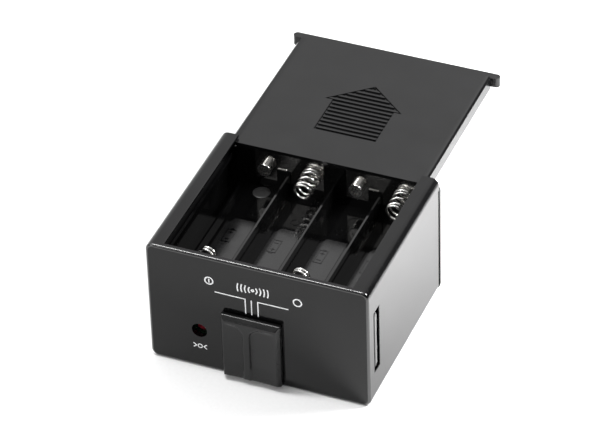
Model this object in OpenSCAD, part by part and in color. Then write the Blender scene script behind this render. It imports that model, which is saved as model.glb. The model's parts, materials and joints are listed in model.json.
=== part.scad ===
// Battery-powered receiver box: a shallow black case with a four-cell bay on top,
// a sliding battery cover, a three-position slide switch and a learn button.
// The origin is the centre of the underside; +X right, +Y towards the back, +Z up.
// The battery cover is drawn slid open, with its front end still held by the rails.

/* [Case] */
// Width of the case across both rails
case_w = 72; // [70:0.5:90]
// Depth of the case from the front face to the back cover
case_d = 59.6; // [58:0.2:76]
// Height of the case
case_h = 43.6; // [42:0.2:56]
// Thickness of the front wall
front_wall = 1.9; // [1.6:0.1:2.4]
// Thickness of the side walls
side_wall = 2.2; // [1.8:0.1:2.6]
// Thickness of the bottom wall
bottom_wall = 2.0; // [1.6:0.1:3]
// Radius of the four long edges of the case
edge_r = 2.5; // [1:0.1:3.4]
// Width of each rail, seen from above
rail_w = 5.7; // [5:0.1:6.2]
// Thickness of the rail's lip over the battery cover
lip_t = 0.8; // [0.7:0.05:0.8]
// Height and width of the slot in each side wall
slot_h = 22.8; // [16:0.2:26]
slot_w = 4.4; // [3:0.1:6]
// Height of the slot's lower end, and its distance behind the front face
slot_z = 10.6; // [8:0.2:14]
slot_y = 3.9; // [3.5:0.1:6]

/* [Back cover] */
// Thickness of the back cover's plate
cover_t = 1.2; // [1:0.1:2]
// How far the plate stands out past the sides of the case
cover_proud = 0.25; // [0:0.05:0.5]
// Depth of the rim that locates the cover inside the case
cover_rim_d = 3; // [2:0.5:5]

/* [Battery cover] */
// Thickness of the battery cover's plate
lid_t = 1.2; // [1.2:0.05:2]
// Drop of the plate's top below the top of the rails
lid_drop = 1.3; // [1.3:0.05:2]
// Height of the raised edge on each side of the plate
ridge_h = 0.4; // [0.2:0.05:0.4]
// Depth of the side flanges below the plate's top
flange_h = 4.3; // [3.5:0.1:5]
// Chamfer on the cover's long top edges
edge_chamfer = 0.6; // [0.2:0.05:0.8]
// Thickness of the side flanges
flange_t = 1.2; // [0.9:0.1:1.4]
// Thickness and height of the pull bar at the back end
bar_t = 2.6; // [2:0.1:4]
bar_h = 3.4; // [2.5:0.1:4.5]
// Overlap left between the cover and the rails when it is drawn open
lid_hold = 3.4; // [2:0.1:8]
// Width of the grip arrow's shaft and head, and their lengths
arrow_shaft_w = 20.7; // [12:0.1:24]
arrow_head_w = 25.8; // [16:0.1:30]
arrow_shaft_l = 16.2; // [10:0.1:20]
arrow_head_l = 10.9; // [6:0.1:14]
// Distance from the front end of the cover to the arrow
arrow_y = 14.8; // [8:0.1:20]
// Depth and pitch of the arrow's grip grooves
arrow_depth = 0.45; // [0.2:0.05:0.7]
arrow_pitch = 1.95; // [1.5:0.05:3]
// Width of the ribs in the arrow
arrow_rib_w = 0.75; // [0.4:0.05:1]
// Groove left between the ribs' ends and the arrow's outline
arrow_margin = 0.35; // [0.2:0.05:0.6]

/* [Battery bay] */
// Diameter of one cell
cell_d = 14.5; // [12:0.1:14.6]
// Clearance between neighbouring cells
cell_gap = 0.7; // [0.3:0.05:0.7]
// Sideways offset of the four bays from the middle of the case
bay_offset = 2.2; // [0:0.1:2.2]
// Room between a lying cell and the battery cover above it
cell_headroom = 0.4; // [0.4:0.1:1.5]
// Height and thickness of the ribs between the cells
rib_h = 7.4; // [3:0.1:7.5]
rib_t = 0.6; // [0.4:0.05:0.6]
// Thickness of the tray's walls and of its floor
tray_wall = 0.9; // [0.8:0.05:1.2]
tray_floor = 1.5; // [1:0.1:2]
// Running clearance between the tray and the case
tray_gap = 0.1; // [0.05:0.05:0.2]

/* [Contacts] */
// Thickness of the contact plates
contact_t = 0.3; // [0.2:0.05:0.5]
// Height of the contact plates
contact_h = 10.6; // [8:0.1:11]
// Half width of a contact plate about a cell's axis
contact_half = 3.8; // [3.6:0.1:5]
// Height of the nubs and springs above the axis of a lying cell
contact_rise = 1.3; // [0:0.1:1.5]
// Radius and length of the positive contact's nub
nub_r = 2.05; // [1.5:0.05:2.6]
nub_l = 2.4; // [1.5:0.1:3]
// Wire diameter, base radius, tip radius, free length and turns of a contact spring
spring_wire = 0.7; // [0.5:0.05:0.9]
spring_base_r = 3.0; // [2.8:0.05:3.6]
spring_tip_r = 2.6; // [2:0.1:3.4]
spring_l = 9.0; // [6:0.1:10]
spring_turns = 4.5; // [3:0.5:6]

/* [Slide switch] */
// Sideways place of the switch, from the middle of the case
switch_x = -1.75; // [-4:0.05:2]
// Travel to each side of the middle position
switch_travel = 2.0; // [1:0.1:2.2]
// Width, height and thickness of the knob
knob_w = 19.2; // [16:0.1:20]
knob_h = 23.1; // [18:0.1:23.5]
knob_t = 2.85; // [2.2:0.05:4]
// Height of the knob's lower edge above the underside
knob_z = 1.3; // [1:0.1:3]
// Gap between the knob and the front face
knob_gap = 0.35; // [0.3:0.05:0.6]
// Height of the knob's upright sides, below their slopes
knob_land = 1.2; // [0.4:0.1:1.8]
// Depth of the finger hollows and width of the ridge between them
hollow_depth = 0.9; // [0.4:0.05:1.4]
ridge_w = 1.8; // [1:0.1:3]
// Sideways offset of the ridge from the middle of the knob
ridge_shift = -1.1; // [-1.5:0.1:1.5]
// Width and height of the actuator's stem
stem_w = 3.4; // [2.4:0.1:4.1]
stem_h = 3.0; // [2:0.1:4]

/* [Learn button] */
// Place of the button from the middle of the case and above the underside
learn_x = -19.4; // [-22:0.1:-16]
learn_z = 14.3; // [13:0.1:17]
// Radius of the access hole and of the plunger
learn_hole_r = 2.5; // [2.2:0.05:3]
plunger_r = 1.7; // [1.2:0.05:2]
// Travel of the plunger
learn_travel = 0.3; // [0.2:0.05:0.5]
// Depths of the plunger's tip and of the switch's face behind the front face
plunger_recess = 2.6; // [2:0.1:4]
learn_setback = 4.9; // [4.4:0.1:6]

/* [Circuit board] */
// Thickness of the board
board_t = 1.6; // [1:0.1:2]
// Clearance around the board
board_gap = 0.6; // [0.4:0.1:2]
// Height of the board's underside above the underside of the case
board_z = 8; // [7:0.1:9]
// Inset of the board's screws from its edges
board_inset = 4; // [3.5:0.1:6]

/* [Hidden] */
$fn = 48;
CURVE = 64;

// Small amount that a cut runs past a face
CUT = 0.5;

// Places along Y
total_d = case_d + cover_t;
front_y = -total_d / 2;
seam_y = front_y + case_d;
back_y = seam_y + cover_t;
inner_front_y = front_y + front_wall;

// Places along X and Z inside the case
inner_x = case_w / 2 - side_wall;
rail_in_x = case_w / 2 - rail_w;
lid_top_z = case_h - lid_drop;
lid_under_z = lid_top_z - lid_t;
lid_slack = 0.15;
lid_half = rail_in_x + 2.1;
lid_front_closed_y = inner_front_y + 0.4;
lid_len = back_y + 0.2 + bar_t - lid_front_closed_y;
lid_front_y = back_y - lid_hold;
flange_z = lid_top_z - flange_h;
ledge_top_z = flange_z - lid_slack;
ledge_t = 1.5;
channel_x = lid_half + lid_slack;
ledge_in_x = lid_half - 0.9;

// Battery tray
bay_pitch = cell_d + cell_gap;
bay_floor_z = lid_under_z - cell_headroom - cell_d;
tray_bottom_z = bay_floor_z - tray_floor;
tray_half = inner_x - tray_gap;
end_half = lid_half - flange_t - 0.3;
tray_front_y = inner_front_y + tray_gap;
tray_back_y = seam_y - tray_gap;
tray_top_z = ledge_top_z - ledge_t - tray_gap;
end_wall_top_z = lid_under_z - 0.4;
bay_y0 = tray_front_y + tray_wall;
bay_y1 = tray_back_y - tray_wall;
bay_x = [for (i = [0:3]) bay_offset + (i - 1.5) * bay_pitch];
left_in_x = bay_x[0] - bay_pitch / 2;
right_in_x = min(bay_x[3] + bay_pitch / 2, tray_half - 0.6);
contact_z = bay_floor_z + cell_d / 2 + contact_rise;
contact_top_z = end_wall_top_z - 0.2;
contact_mid_z = contact_top_z - contact_h / 2;

// Slide switch
knob_top_z = knob_z + knob_h;
knob_back_y = front_y - knob_gap;
knob_front_y = knob_back_y - knob_t;
switch_z = knob_z + knob_h / 2;
stem_grip = knob_t * 0.45;
stem_play = 0.3;
// Room round the stem in the knob's socket, and how far the grips start below the knob's top
stem_fit = 0.04;
hollow_drop = 2.6;

// Clip behind each side slot
clip_t = 0.6;
clip_x1 = inner_x - 0.5;
clip_x0 = clip_x1 - clip_t;
clip_mid_y = front_y + slot_y + slot_w / 2;
clip_half = slot_w / 2 + 1.0;
clip_foot_h = 2.8;
// The strip between the clip's feet: half its width, and how far it ends inside the feet
clip_strip_half = 0.9;
clip_inset = 0.5;
clip_z0 = slot_z - 1.6;
clip_z1 = slot_z + slot_h + 0.8;
clip_room = 0.3;

// Circuit board and what stands on it
board_top_z = board_z + board_t;
board_front_y = inner_front_y + board_gap;
board_back_y = seam_y - cover_rim_d - board_gap;
boss_r = 2.9;
boss_hole_r = 1.05;
boss_d = 9;
boss_x = inner_x - boss_r;
boss_z = [6.2, tray_bottom_z - boss_r - 1.3];
post_r = 2.8;
post_hole_r = 0.95;
board_half = boss_x - boss_r - board_gap;
post_x = board_half - board_inset;
post_y = [board_front_y + board_inset + 6, board_back_y - board_inset];
function from_front(x, y) = [x, board_front_y + y];
function from_back(x, y) = [x, board_back_y - y];

// Terminal block
term_w = 17;
term_h = 10.5;
term_d = 11;
term_x = 8;
term_z = board_top_z;
term_pitch = 8;
term_y1 = seam_y + cover_t - 0.4;

// A flat shape with four round corners, centred on X, from z0 up to z1
module round_panel(half_w, z0, z1, r) {
    translate([-half_w, z0 + r])
        square([2 * half_w, z1 - z0 - 2 * r]);
    translate([-half_w + r, z0])
        square([2 * (half_w - r), z1 - z0]);
    for (sx = [-1, 1])
        for (zc = [z0 + r, z1 - r])
            translate([sx * (half_w - r), zc])
                circle(r = r, $fn = CURVE);
}

// A shape drawn in X and Z, carried from y0 to y1
module along_y(y0, y1) {
    translate([0, y1, 0])
        rotate([90, 0, 0])
            linear_extrude(height = y1 - y0)
                children();
}

// A box given by its lowest and highest corners
module block(a, b) {
    translate(a)
        cube([b[0] - a[0], b[1] - a[1], b[2] - a[2]]);
}

// A round bar along Y from y0 to y1
module rod_y(x, z, r, y0, y1) {
    translate([x, y1, z])
        rotate([90, 0, 0])
            cylinder(r = r, h = y1 - y0);
}

// A round bar along Z from z0 to z1
module rod_z(x, y, r, z0, z1) {
    translate([x, y, z0])
        cylinder(r = r, h = z1 - z0);
}

// The same piece on both sides of the case
module both_sides() {
    children();
    mirror([1, 0, 0])
        children();
}

// The room inside the case, below the rails
module case_room() {
    block([-inner_x, inner_front_y, bottom_wall],
        [inner_x, seam_y + CUT, ledge_top_z - ledge_t]);
    block([-ledge_in_x, inner_front_y, bottom_wall], [ledge_in_x, seam_y + CUT, ledge_top_z + CUT]);
    block([-channel_x, inner_front_y, ledge_top_z], [channel_x, seam_y + CUT, case_h - lip_t]);
    block([-rail_in_x, inner_front_y, ledge_top_z], [rail_in_x, seam_y + CUT, case_h + CUT]);
}

// The slot in the front wall that the actuator's stem slides in
module stem_slot() {
    half = stem_w / 2 + switch_travel + stem_play;
    block([switch_x - half, front_y - CUT, switch_z - stem_h / 2 - 0.2],
        [switch_x + half, inner_front_y + CUT, switch_z + stem_h / 2 + 0.2]);
}

// Posts that carry the circuit board, and bosses that take the cover's screws
module case_posts() {
    both_sides()
        for (y = post_y)
            rod_z(post_x, y, post_r, bottom_wall - CUT, board_z);
    both_sides()
        for (z = boss_z)
            rod_y(boss_x + 0.1, z, boss_r, seam_y - cover_rim_d - boss_d, seam_y - cover_rim_d);
}

// Blind holes in the posts and the bosses
module case_post_holes() {
    both_sides()
        for (y = post_y)
            rod_z(post_x, y, post_hole_r, bottom_wall, board_z + CUT);
    both_sides()
        for (z = boss_z)
            rod_y(boss_x, z, boss_hole_r, seam_y - cover_rim_d - boss_d + 1.5, seam_y);
}

// Ribs on the side walls, behind the slots, that the battery tray rests on
module tray_ribs() {
    both_sides()
        block([inner_x - 1.4, clip_mid_y + clip_half + clip_room, tray_bottom_z - 1.3],
            [inner_x + CUT, seam_y - cover_rim_d - 0.2, tray_bottom_z - 0.05]);
}

module case_shell() {
    color([0.10, 0.10, 0.11])
        difference() {
            union() {
                difference() {
                    along_y(front_y, seam_y)
                        round_panel(case_w / 2, 0, case_h, edge_r);
                    case_room();
                }
                case_posts();
                tray_ribs();
            }
            stem_slot();
            case_post_holes();
            rod_y(learn_x, learn_z, learn_hole_r, front_y - CUT, inner_front_y + CUT);
            both_sides()
                block([inner_x - CUT, front_y + slot_y, slot_z],
                    [case_w / 2 + CUT, front_y + slot_y + slot_w, slot_z + slot_h]);
        }
}

// The cover's rim, just inside the case below the battery tray
module cover_rim() {
    rim_half = inner_x - 0.15;
    rim_top_z = tray_bottom_z - 0.3;
    rim_low_z = bottom_wall + 0.15;
    rim_t = 1.2;
    difference() {
        block([-rim_half, seam_y - cover_rim_d, rim_low_z], [rim_half, seam_y + CUT, rim_top_z]);
        block([-rim_half + rim_t, seam_y - cover_rim_d - CUT, rim_low_z + rim_t],
            [rim_half - rim_t, seam_y + cover_t, rim_top_z - rim_t]);
    }
    both_sides()
        for (z = boss_z)
            rod_y(boss_x, z, boss_r - 0.1, seam_y - cover_rim_d + 0.05, seam_y + CUT);
}

module back_cover() {
    cover_half = case_w / 2 + cover_proud;
    cover_top_z = lid_under_z - 0.3;
    color([0.10, 0.10, 0.11])
        difference() {
            union() {
                along_y(seam_y, back_y)
                    round_panel(cover_half, 0, cover_top_z, edge_r);
                cover_rim();
            }
            both_sides() {
                block([ledge_in_x - 1.0, seam_y - CUT, ledge_top_z],
                    [channel_x, back_y + CUT, cover_top_z + CUT]);
                for (z = boss_z) {
                    rod_y(boss_x, z, 1.4, seam_y - cover_rim_d - CUT, back_y + CUT);
                    rod_y(boss_x, z, 2.6, back_y - 0.7, back_y + CUT);
                }
            }
            block([term_x - term_w / 2 - 0.3, seam_y - cover_rim_d - CUT, term_z - 0.3],
                [term_x + term_w / 2 + 0.3, back_y + CUT, term_z + term_h + 0.3]);
        }
}

// A pan-head screw along -Y with a cross recess; its head sits on y_seat
module screw_y(x, z, y_seat, len, shank_r, head_r, head_h) {
    difference() {
        union() {
            rod_y(x, z, shank_r, y_seat - len, y_seat + 0.1);
            rod_y(x, z, head_r, y_seat, y_seat + head_h);
        }
        for (a = [0, 90])
            translate([x, y_seat + head_h, z])
                rotate([0, a, 0])
                    cube([head_r * 1.2, head_h, 0.5], center = true);
    }
}

// The same screw along -Z
module screw_z(x, y, z_seat, len, shank_r, head_r, head_h) {
    difference() {
        union() {
            rod_z(x, y, shank_r, z_seat - len, z_seat + 0.1);
            rod_z(x, y, head_r, z_seat, z_seat + head_h);
        }
        for (a = [0, 90])
            translate([x, y, z_seat + head_h])
                rotate([0, 0, a])
                    cube([head_r * 1.2, 0.5, head_h], center = true);
    }
}

module cover_screws() {
    color("silver")
        both_sides()
            for (z = boss_z)
                screw_y(boss_x, z, back_y - 0.7, cover_t + cover_rim_d + boss_d - 3, boss_hole_r - 0.02,
                    2.2, 0.9);
}

// Outline of the arrow, pointing to +Y from its foot at the origin, drawn in by inset all round
module arrow_shape(inset) {
    shaft = arrow_shaft_w / 2 - inset;
    head_y = arrow_shaft_l + inset;
    drop = inset * sqrt(1 + pow(2 * arrow_head_l / arrow_head_w, 2));
    head = arrow_head_w / 2 * (1 - (inset + drop) / arrow_head_l);
    polygon([[-shaft, inset], [shaft, inset], [shaft, head_y], [head, head_y],
        [0, arrow_shaft_l + arrow_head_l - drop], [-head, head_y], [-shaft, head_y]]);
}

// The arrow's recess: the whole outline sunk, less the ribs that stand in it
module arrow_recess() {
    rows = floor((arrow_shaft_l + arrow_head_l) / arrow_pitch);
    translate([0, lid_front_y + arrow_y, lid_top_z - arrow_depth])
        linear_extrude(height = arrow_depth + CUT)
            difference() {
                arrow_shape(0);
                intersection() {
                    arrow_shape(arrow_margin);
                    for (i = [0:rows])
                        translate([-arrow_head_w, (i + 0.5) * arrow_pitch])
                            square([2 * arrow_head_w, arrow_rib_w]);
                }
            }
}

// Half of the battery cover's section: plate, raised edge and flange
module lid_section() {
    polygon([[0, lid_under_z], [0, lid_top_z], [rail_in_x - 0.1, lid_top_z],
        [lid_half - edge_chamfer, lid_top_z + ridge_h], [lid_half, lid_top_z + ridge_h - edge_chamfer],
        [lid_half, flange_z], [lid_half - flange_t, flange_z],
        [lid_half - flange_t, lid_under_z]]);
}

module battery_cover() {
    bar_y0 = lid_front_y + lid_len - bar_t;
    color([0.12, 0.12, 0.13])
        difference() {
            union() {
                both_sides()
                    along_y(lid_front_y, bar_y0 + 0.2)
                        lid_section();
                translate([0, 0, lid_top_z - bar_h])
                    linear_extrude(height = bar_h)
                        pull_bar_plan(bar_y0);
            }
            arrow_recess();
        }
}

// Plan of the pull bar, with round ends
module pull_bar_plan(y0) {
    end_x = case_w / 2 - 0.8;
    r = bar_t / 2;
    translate([-end_x + r, y0])
        square([2 * (end_x - r), bar_t]);
    for (sx = [-1, 1])
        translate([sx * (end_x - r), y0 + r])
            circle(r = r);
}

// The tray that holds the cells: floor, end walls, side walls and ribs between the cells
module battery_tray() {
    color([0.08, 0.08, 0.09])
        difference() {
            union() {
                block([-tray_half, tray_front_y, tray_bottom_z], [tray_half, tray_back_y, bay_floor_z]);
                block([-tray_half, tray_front_y, tray_bottom_z],
                    [-tray_half + tray_wall, tray_back_y, tray_top_z]);
                block([right_in_x, tray_front_y, tray_bottom_z], [tray_half, tray_back_y, tray_top_z]);
                for (y = [tray_front_y, bay_y1])
                    block([-end_half, y, tray_bottom_z], [end_half, y + tray_wall, end_wall_top_z]);
                for (i = [1:3])
                    block([bay_x[i] - bay_pitch / 2 - rib_t / 2, bay_y0 - CUT, bay_floor_z - CUT],
                        [bay_x[i] - bay_pitch / 2 + rib_t / 2, bay_y1 + CUT, bay_floor_z + rib_h]);
                block([left_in_x - rib_t, bay_y0 - CUT, bay_floor_z - CUT],
                    [left_in_x, bay_y1 + CUT, bay_floor_z + 2]);
            }
            both_sides()
                block([clip_x0 - clip_room, tray_front_y - CUT, tray_bottom_z - CUT],
                    [tray_half + CUT, clip_mid_y + clip_half + clip_room, clip_z1 + clip_room]);
            tray_floor_grooves();
            tray_tail_slots();
        }
}

// Shallow lines pressed into the floor of each bay
module tray_floor_grooves() {
    groove_w = 0.35;
    groove_end_y = front_y + 39.5;
    for (i = [0:3])
        for (dx = [-5.2, 1.0])
            block([bay_x[i] + dx - groove_w / 2, front_y + 12, bay_floor_z - 0.25],
                [bay_x[i] + dx + groove_w / 2, groove_end_y, bay_floor_z + CUT]);
}

// Slots in the floor for the tails of the two single contacts
module tray_tail_slots() {
    for (x = tail_x)
        block([x - tail_w / 2 - 0.15, bay_y0, tray_bottom_z - CUT],
            [x + tail_w / 2 + 0.15, bay_y0 + contact_t + 0.15, bay_floor_z + CUT]);
}

// A contact plate on an end wall; dir is 1 on the front wall and -1 on the back wall
module contact_plate(x0, x1, dir) {
    y0 = dir > 0 ? bay_y0 : bay_y1 - contact_t;
    block([x0, y0, contact_top_z - contact_h], [x1, y0 + contact_t, contact_top_z]);
}

// The pressed nub that meets a cell's positive end
module contact_nub(x, dir) {
    y0 = dir > 0 ? bay_y0 + contact_t - 0.1 : bay_y1 - contact_t - nub_l;
    y1 = dir > 0 ? bay_y0 + contact_t + nub_l : bay_y1 - contact_t + 0.1;
    lip_y = dir > 0 ? y1 : y0;
    difference() {
        rod_y(x, contact_z, nub_r, y0, y1);
        rod_y(x, contact_z, nub_r - 0.55, lip_y - 0.25, lip_y + 0.25);
    }
}

// The lanced tab: how far it stands off its plate, its width, its distance from the rib and its drop
tab_reach = 0.35;
tab_w = 3.2;
tab_from_rib = 2.3;
tab_drop = 0.6;
// The window in the plate: its reach to the nub's side of the rib, and its room past the rib
window_reach = 4.2;
window_room = 0.2;

// A plate that joins two cells, with a window over the rib and a lanced tab in it
module contact_pair(x_nub, x_spring, dir) {
    side = sign(x_spring - x_nub);
    rib_x = (x_nub + x_spring) / 2;
    win = [rib_x - side * window_reach, rib_x + side * (rib_t / 2 + window_room)];
    tab_x = rib_x - side * tab_from_rib;
    tab_z = contact_mid_z - tab_drop;
    y0 = dir > 0 ? bay_y0 : bay_y1 - contact_t;
    tab_y0 = dir > 0 ? bay_y0 : bay_y1 - contact_t - tab_reach;
    difference() {
        contact_plate(min(x_nub, x_spring) - contact_half, max(x_nub, x_spring) + contact_half, dir);
        block([min(win), y0 - CUT, contact_top_z - contact_h - CUT],
            [max(win), y0 + contact_t + CUT, tab_z]);
    }
    block([tab_x - tab_w / 2, tab_y0, tab_z - 0.05],
        [tab_x + tab_w / 2, tab_y0 + contact_t + tab_reach, tab_z + contact_t]);
    contact_nub(x_nub, dir);
}

module contact_back_left() {
    color("gainsboro")
        contact_pair(bay_x[0], bay_x[1], -1);
}

module contact_back_right() {
    color("gainsboro")
        contact_pair(bay_x[2], bay_x[3], -1);
}

module contact_front_bridge() {
    color("gainsboro")
        contact_pair(bay_x[1], bay_x[2], 1);
}

// The solder tail that runs down from a single contact through the tray's floor
tail_w = 2;
tail_x = [bay_x[0] - 2.7, bay_x[3] + 2.7];
tail_low_z = tray_bottom_z - 2.2;

module contact_tail(x) {
    block([x - tail_w / 2, bay_y0, tail_low_z], [x + tail_w / 2, bay_y0 + contact_t, contact_mid_z]);
}

module contact_front_negative() {
    color("gainsboro") {
        contact_plate(bay_x[0] - contact_half, bay_x[0] + contact_half, 1);
        contact_tail(tail_x[0]);
    }
}

module contact_front_positive() {
    color("gainsboro") {
        contact_plate(bay_x[3] - contact_half, bay_x[3] + contact_half, 1);
        contact_tail(tail_x[1]);
        contact_nub(bay_x[3], 1);
    }
}

// A tube of SIDES sides swept along a list of points; start is square to its first stretch
SIDES = 8;
function unit(v) = v / norm(v);
function heading(p, i) =
    let (a = max(i - 1, 0), b = min(i + 1, len(p) - 1))
    unit(p[b] - p[a]);
function squared(n, t) = unit(n - (n * t) * t);
function normals(p, start) =
    [for (i = 0, n = squared(start, heading(p, 0)); i < len(p);
        i = i + 1, n = squared(n, heading(p, min(i, len(p) - 1)))) n];
function ring(centre, t, n, r) =
    let (s = cross(t, n))
    [for (k = [0:SIDES - 1]) centre + r * (cos(360 * k / SIDES) * n + sin(360 * k / SIDES) * s)];
function tube_faces(count) = concat(
    [[for (k = [SIDES - 1:-1:0]) k]],
    [for (i = [0:count - 2])
        for (k = [0:SIDES - 1])
            [i * SIDES + k, i * SIDES + (k + 1) % SIDES, (i + 1) * SIDES + (k + 1) % SIDES,
                (i + 1) * SIDES + k]],
    [[for (k = [0:SIDES - 1]) (count - 1) * SIDES + k]]);

module tube(path, r, start) {
    n = normals(path, start);
    polyhedron(points = [for (i = [0:len(path) - 1]) each ring(path[i], heading(path, i), n[i], r)],
        faces = [for (f = tube_faces(len(path))) [for (k = [len(f) - 1:-1:0]) f[k]]], convexity = 6);
}

// How far along its axis a spring has risen at a fraction f of its turns; each end turn is closed
function spring_rise(f) =
    let (c = 1 / spring_turns, a = spring_wire * 1.1, l = spring_l - spring_wire)
    f < c ? a * f / c : f > 1 - c ? l - a * (1 - f) / c : a + (l - 2 * a) * (f - c) / (1 - 2 * c);

// Centre line of a contact spring about the Y axis, from its plate outwards
STEPS = 14;
function spring_path(x, y0, dir) =
    [for (k = [0:spring_turns * STEPS])
        let (f = k / (spring_turns * STEPS), r = spring_base_r + f * (spring_tip_r - spring_base_r))
        [x + r * cos(360 * k / STEPS), y0 + dir * (spring_wire / 2 + spring_rise(f)),
            contact_z + r * sin(360 * k / STEPS)]];

module contact_spring(x, dir) {
    seat_y = dir > 0 ? bay_y0 + contact_t : bay_y1 - contact_t;
    color("silver")
        tube(spring_path(x, seat_y, dir), spring_wire / 2, [1, 0, 0]);
}

module spring_bay1() {
    contact_spring(bay_x[0], 1);
}

module spring_bay2() {
    contact_spring(bay_x[1], -1);
}

module spring_bay3() {
    contact_spring(bay_x[2], 1);
}

module spring_bay4() {
    contact_spring(bay_x[3], -1);
}

// A springy strip behind a side slot, which grips an ear of the wall plate
module wall_clip() {
    color([0.12, 0.12, 0.13]) {
        block([clip_x0, clip_mid_y - clip_strip_half, clip_z0 + clip_inset],
            [clip_x1, clip_mid_y + clip_strip_half, clip_z1 - clip_inset]);
        for (z = [clip_z0, clip_z1 - clip_foot_h])
            block([clip_x0, clip_mid_y - clip_half, z],
                [inner_x, clip_mid_y + clip_half, z + clip_foot_h]);
    }
}

module wall_clip_right() {
    wall_clip();
}

module wall_clip_left() {
    mirror([1, 0, 0])
        wall_clip();
}

module circuit_board() {
    color([0.10, 0.35, 0.20])
        difference() {
            block([-board_half, board_front_y, board_z], [board_half, board_back_y, board_top_z]);
            both_sides()
                for (y = post_y)
                    rod_z(post_x, y, 1.3, board_z - CUT, board_top_z + CUT);
        }
}

module board_screws() {
    color("silver")
        both_sides()
            for (y = post_y)
                screw_z(post_x, y, board_top_z, board_t + 4.5, post_hole_r - 0.02, 2.0, 1.2);
}

// Slide switch: a folded steel frame around a moulded base, standing on the board
switch_half = 7.5;
switch_body_y0 = inner_front_y + 0.25;
switch_body_y1 = switch_body_y0 + 6;

module switch_frame() {
    sheet = 0.4;
    window = stem_w / 2 + switch_travel + 0.25;
    color("silver")
        difference() {
            block([switch_x - switch_half, switch_body_y0, board_top_z],
                [switch_x + switch_half, switch_body_y1 - 2, switch_z + 3.2]);
            block([switch_x - switch_half + sheet, switch_body_y0 + sheet, board_top_z - CUT],
                [switch_x + switch_half - sheet, switch_body_y1 + CUT, switch_z + 3.2 - sheet]);
            block([switch_x - window, switch_body_y0 - CUT, switch_z - stem_h / 2 - 0.15],
                [switch_x + window, switch_body_y0 + sheet + CUT, switch_z + stem_h / 2 + 0.15]);
        }
}

module switch_base() {
    color([0.75, 0.65, 0.45])
        block([switch_x - switch_half + 0.45, switch_body_y0 + 3.4, board_top_z],
            [switch_x + switch_half - 0.45, switch_body_y1, switch_z + 2.7]);
}

module switch_actuator() {
    foot_half = stem_w / 2 + 1.8;
    color([0.12, 0.12, 0.12]) {
        block([switch_x - foot_half, switch_body_y0 + 0.55, switch_z - 2.2],
            [switch_x + foot_half, switch_body_y0 + 3.2, switch_z + 2.2]);
        block([switch_x - stem_w / 2, knob_back_y - stem_grip, switch_z - stem_h / 2],
            [switch_x + stem_w / 2, switch_body_y0 + 0.6, switch_z + stem_h / 2]);
    }
}

// The knob: a broad plate with two finger hollows beside a narrow ridge
module switch_knob() {
    half = knob_w / 2;
    slope = 1.0;
    land_y = knob_back_y - knob_land;
    hollow_top_z = knob_top_z - hollow_drop;
    color([0.11, 0.11, 0.12])
        difference() {
            translate([switch_x, 0, knob_z])
                linear_extrude(height = knob_h)
                    polygon([[-half, knob_back_y], [-half, land_y], [-half + slope, knob_front_y],
                        [half - slope, knob_front_y], [half, land_y], [half, knob_back_y]]);
            for (sx = [-1, 1])
                finger_hollow(ridge_shift + sx * ridge_w / 2, sx * (half - slope), hollow_top_z);
            block([switch_x - stem_w / 2 - stem_fit, knob_back_y - stem_grip, switch_z - stem_h / 2 - stem_fit],
                [switch_x + stem_w / 2 + stem_fit, knob_back_y + CUT, switch_z + stem_h / 2 + stem_fit]);
        }
}

// One shallow round hollow between two places across the knob's front
module finger_hollow(xa, xb, top_z) {
    half = abs(xb - xa) / 2;
    r = (half * half + hollow_depth * hollow_depth) / (2 * hollow_depth);
    translate([switch_x + (xa + xb) / 2, knob_front_y - r + hollow_depth, knob_z - CUT])
        cylinder(r = r, h = top_z - knob_z + CUT, $fn = CURVE);
}

// Learn button: an upright push switch on the board, its plunger behind the access hole
learn_body_y0 = front_y + learn_setback;
plunger_tip_y = front_y + plunger_recess;
plunger_foot_y = learn_body_y0 + 0.9;

module learn_switch() {
    color([0.1, 0.1, 0.1])
        difference() {
            block([learn_x - 3.1, learn_body_y0 + 0.35, board_top_z],
                [learn_x + 3.1, learn_body_y0 + 4.2, learn_z + 3.1]);
            rod_y(learn_x, learn_z, plunger_r + 0.5, learn_body_y0 - CUT,
                plunger_foot_y + 0.6 + learn_travel + 0.1);
        }
}

module learn_switch_frame() {
    color("silver")
        difference() {
            block([learn_x - 3.3, learn_body_y0, board_top_z],
                [learn_x + 3.3, learn_body_y0 + 0.33, learn_z + 3.1]);
            rod_y(learn_x, learn_z, plunger_r + 0.08, learn_body_y0 - CUT, learn_body_y0 + 1);
        }
}

module learn_plunger() {
    color([0.55, 0.12, 0.12]) {
        rod_y(learn_x, learn_z, plunger_r, plunger_tip_y, plunger_foot_y + 0.6);
        rod_y(learn_x, learn_z, plunger_r + 0.35, plunger_foot_y - 0.45, plunger_foot_y + 0.6);
    }
}

// Parts standing on the board
relay_at = from_back(-13, 13.5);
buzzer_at = from_back(14, 21.5);
chip_at = from_front(-4, 22);
module_at = from_front(-19, 20);

module relay() {
    color([0.15, 0.25, 0.55])
        block([relay_at[0] - 7.7, relay_at[1] - 9.5, board_top_z],
            [relay_at[0] + 7.7, relay_at[1] + 9.5, board_top_z + 13]);
}

module buzzer() {
    color([0.08, 0.08, 0.08])
        difference() {
            rod_z(buzzer_at[0], buzzer_at[1], 6, board_top_z, board_top_z + 9.5);
            rod_z(buzzer_at[0], buzzer_at[1], 1.2, board_top_z + 7, board_top_z + 10);
        }
}

module controller_chip() {
    pins = 7;
    color([0.1, 0.1, 0.1])
        block([chip_at[0] - 4.4, chip_at[1] - 2, board_top_z + 0.15],
            [chip_at[0] + 4.4, chip_at[1] + 2, board_top_z + 1.75]);
    color("silver")
        for (i = [0:pins - 1])
            block([chip_at[0] - 4 + i * 1.27, chip_at[1] - 3, board_top_z],
                [chip_at[0] - 3.6 + i * 1.27, chip_at[1] + 3, board_top_z + 0.3]);
}

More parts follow.
